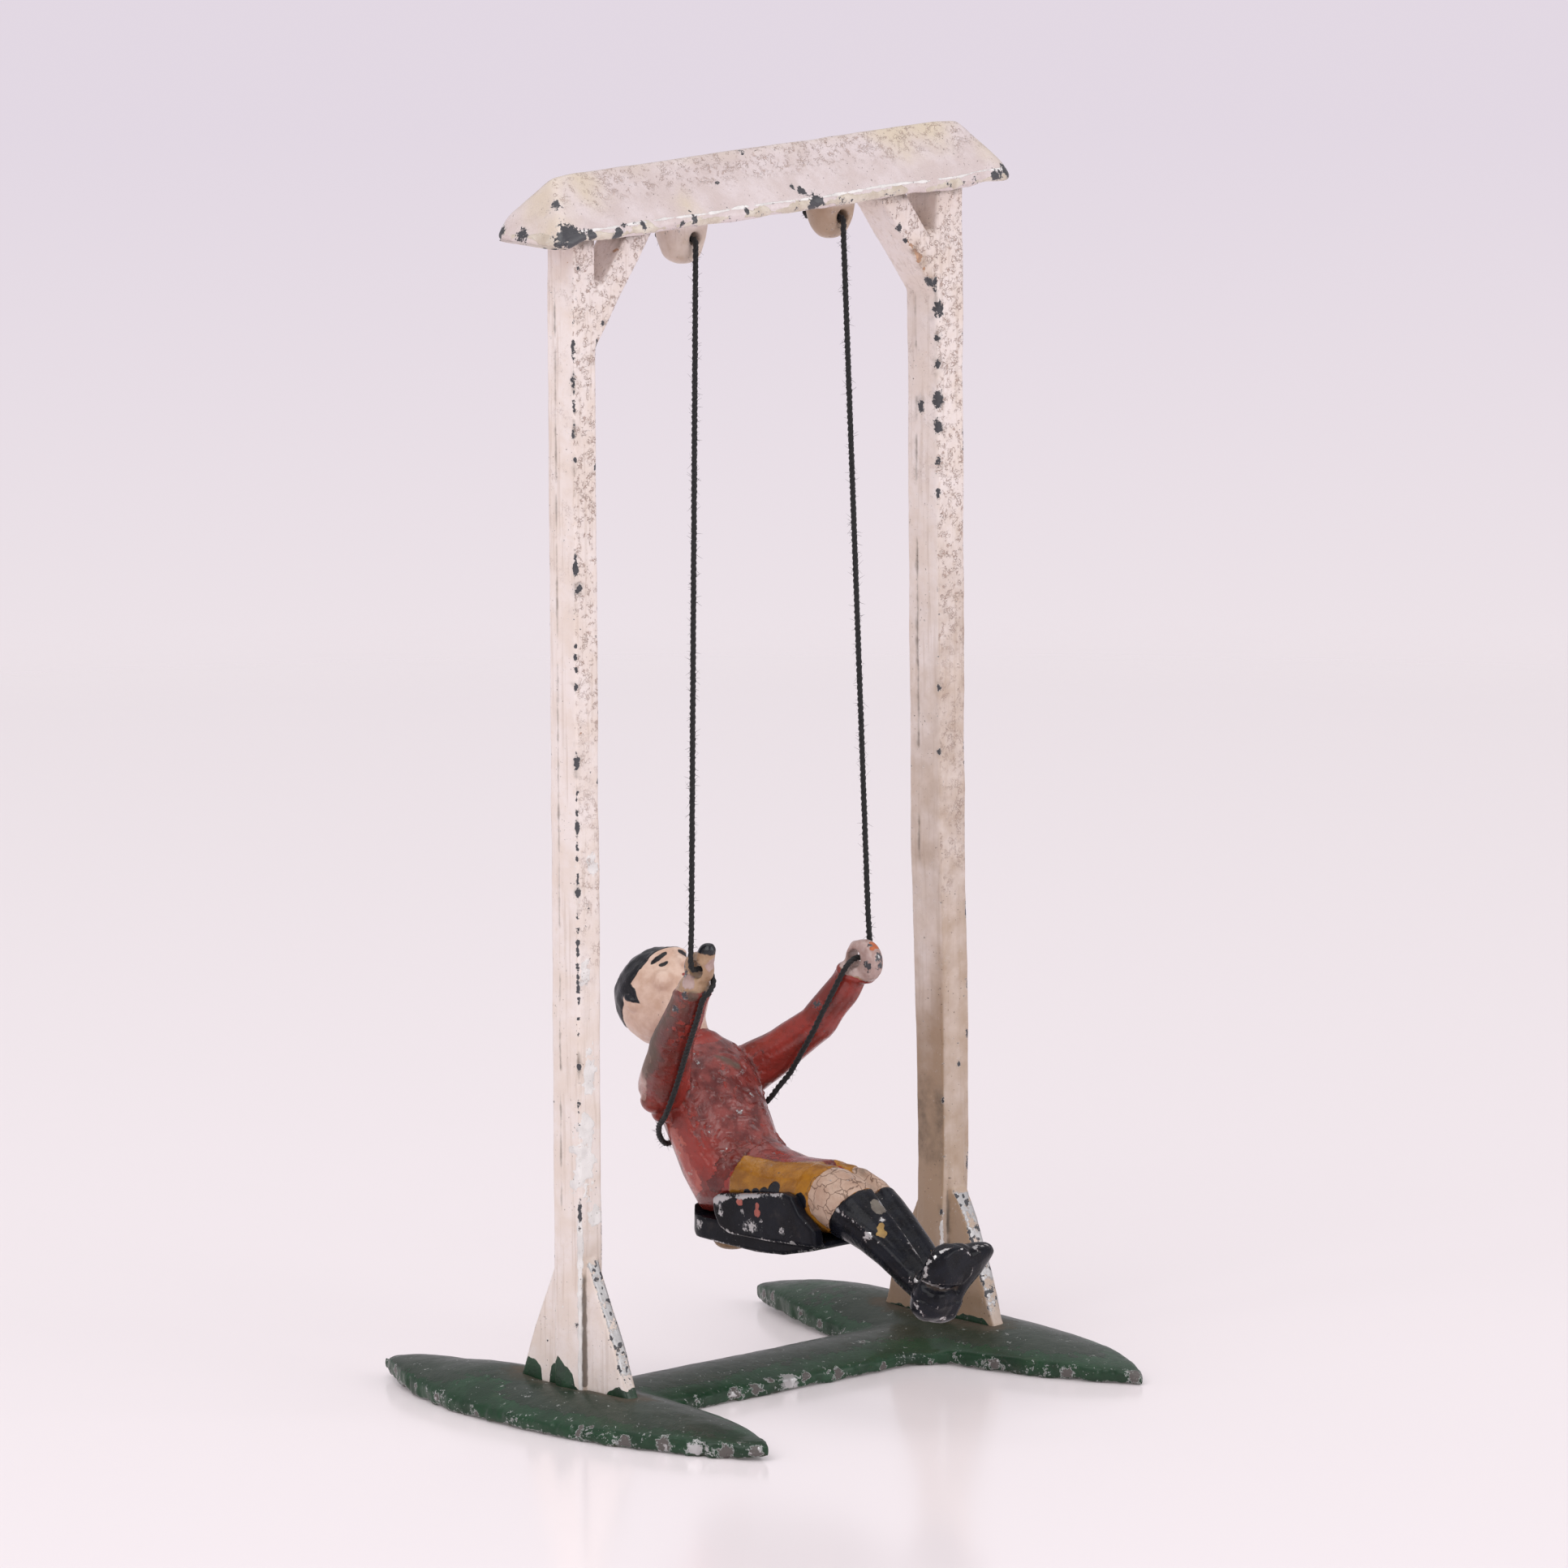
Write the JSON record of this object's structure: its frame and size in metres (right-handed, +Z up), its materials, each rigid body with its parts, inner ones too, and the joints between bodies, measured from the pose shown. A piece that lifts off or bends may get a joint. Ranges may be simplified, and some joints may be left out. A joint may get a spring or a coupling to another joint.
{
  "type": "metal swing toy figure",
  "caption": "Cast metal toy of a boy on a seat who hangs by threads from a small roofed swing frame and swings forward and back.",
  "frame": {"origin": "on the table, midway between the two posts", "axes": "+X along the roof to the right post, +Y towards the back of the swing, the boy faces -Y, +Z up"},
  "size_m": [0.056, 0.0489, 0.105],
  "materials": {
    "base_paint": "worn dark green gloss paint over cast metal",
    "frame_paint": "aged cream gloss paint, crazed and chipped to grey metal",
    "thread": "black cotton thread with loose fibres",
    "black_paint": "black gloss paint worn to grey metal along its edges",
    "shorts_paint": "ochre gloss paint",
    "jersey_paint": "red gloss paint, worn pale on the chest",
    "skin_paint": "flesh paint with black hair"
  },
  "bodies": {
    "frame": {"base": "base_paint", "left_post": "frame_paint", "right_post": "frame_paint", "left_brace": "frame_paint", "right_brace": "frame_paint", "roof": "frame_paint", "left_lug": "frame_paint", "right_lug": "frame_paint", "left_knot": "thread", "right_knot": "thread"},
    "threads": {"left_thread": "thread", "right_thread": "thread"},
    "boy": {"thread_wrap": "thread", "seat": "black_paint", "shorts": "shorts_paint", "torso": "jersey_paint", "head": "skin_paint", "left_arm": "jersey_paint", "right_arm": "jersey_paint", "left_leg": "black_paint", "right_leg": "black_paint"}
  },
  "joints": [
    {"name": "swing", "type": "hinge", "parent": "frame", "child": "threads", "pos_m": [0, -0.00211, 0.097], "axis": [1, 0, 0], "range_deg": [-50, 50]},
    {"name": "tilt", "type": "hinge", "parent": "threads", "child": "boy", "pos_m": [0.00035, -0.00211, 0.03605], "axis": [0.9973, 0, -0.0733], "range_deg": [-15, 12]}
  ]
}
